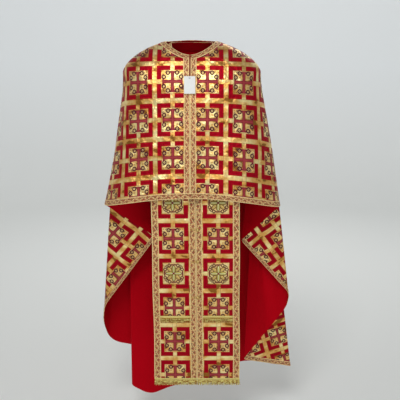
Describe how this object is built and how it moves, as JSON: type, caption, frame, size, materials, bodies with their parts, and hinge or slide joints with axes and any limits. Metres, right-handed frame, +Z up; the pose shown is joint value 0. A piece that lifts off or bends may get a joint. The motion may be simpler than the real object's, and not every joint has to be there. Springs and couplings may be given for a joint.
{
  "type": "chasuble",
  "caption": "Brocade chasuble with short front, long back and pleated sides, over a matching fringed stole, lined and edged with galloon.",
  "frame": {"origin": "middle of the neck opening, at the height of the shoulders' top, where the wearer's neck carries the garment", "axes": "+Z up along the hanging cloth, front faces -Y, +X to the viewer's right seen from the front"},
  "size_m": [0.7977, 0.4614, 1.5315],
  "materials": {
    "brocade": "metallic woven brocade, crimson and gold",
    "lining": "plain crimson satin",
    "galloon": "woven metallic braid",
    "fringe": "twisted metallic thread fringe",
    "embroidery": "metallic thread embroidery",
    "cord_gold": "thin twisted cord",
    "button_metal": "polished brass",
    "card": "blank white card",
    "eyelet_metal": "small dark eyelet",
    "barb_plastic": "clear tag barb"
  },
  "bodies": {
    "yoke": {"neckband": "brocade", "neckband_lining": "lining", "stole_chest_galloons_left": "galloon", "stole_chest_galloons_right": "galloon", "stole_chest_left": "brocade", "stole_chest_lining_left": "lining", "stole_chest_lining_right": "lining", "stole_chest_right": "brocade"},
    "front": {"centre_galloon_left": "galloon", "centre_galloon_right": "galloon", "front_brocade_left": "brocade", "front_brocade_right": "brocade", "front_hem_galloon_left": "galloon", "front_hem_galloon_right": "galloon", "front_lining_left": "lining", "front_lining_right": "lining", "neck_galloon_left": "galloon", "neck_galloon_right": "galloon", "tag_barb": "barb_plastic"},
    "back": {"back_brocade": "brocade", "back_cross": "galloon", "back_hem_galloon": "galloon", "back_lining": "lining", "neck_galloon_back": "galloon", "side_brocade_left": "brocade", "side_brocade_right": "brocade", "side_hem_galloon_left": "galloon", "side_hem_galloon_right": "galloon", "side_lining_left": "lining", "side_lining_right": "lining"},
    "stole_end": {"bottom_fringe_left": "fringe", "bottom_fringe_right": "fringe", "button_loops": "cord_gold", "embroidered_crosses_left": "embroidery", "embroidered_crosses_right": "embroidery", "stole_brocade_left": "brocade", "stole_brocade_right": "brocade", "stole_buttons": "button_metal", "stole_inner_galloon_left": "galloon", "stole_inner_galloon_right": "galloon", "stole_lining_left": "lining", "stole_lining_right": "lining", "stole_outer_galloon_left": "galloon", "stole_outer_galloon_right": "galloon", "upper_fringe_left": "fringe", "upper_fringe_right": "fringe"},
    "tag": {"tag_card": "card", "tag_eyelet": "eyelet_metal"}
  },
  "joints": [
    {"name": "front_lift", "type": "hinge", "parent": "yoke", "child": "front", "pos_m": [0, 0, 0.012], "axis": [-1, 0, 0], "range_deg": [0, 12]},
    {"name": "back_lift", "type": "hinge", "parent": "yoke", "child": "back", "pos_m": [0, 0, 0.016], "axis": [1, 0, 0], "range_deg": [0, 8]},
    {"name": "stole_lift", "type": "hinge", "parent": "yoke", "child": "stole_end", "pos_m": [0, -0.131, -0.592], "axis": [-1, 0, 0], "range_deg": [0, 55]},
    {"name": "tag_swing", "type": "hinge", "parent": "front", "child": "tag", "pos_m": [-0.007, -0.13541, -0.12854], "axis": [0, -0.9793, 0.2026], "range_deg": [-30, 30]}
  ]
}
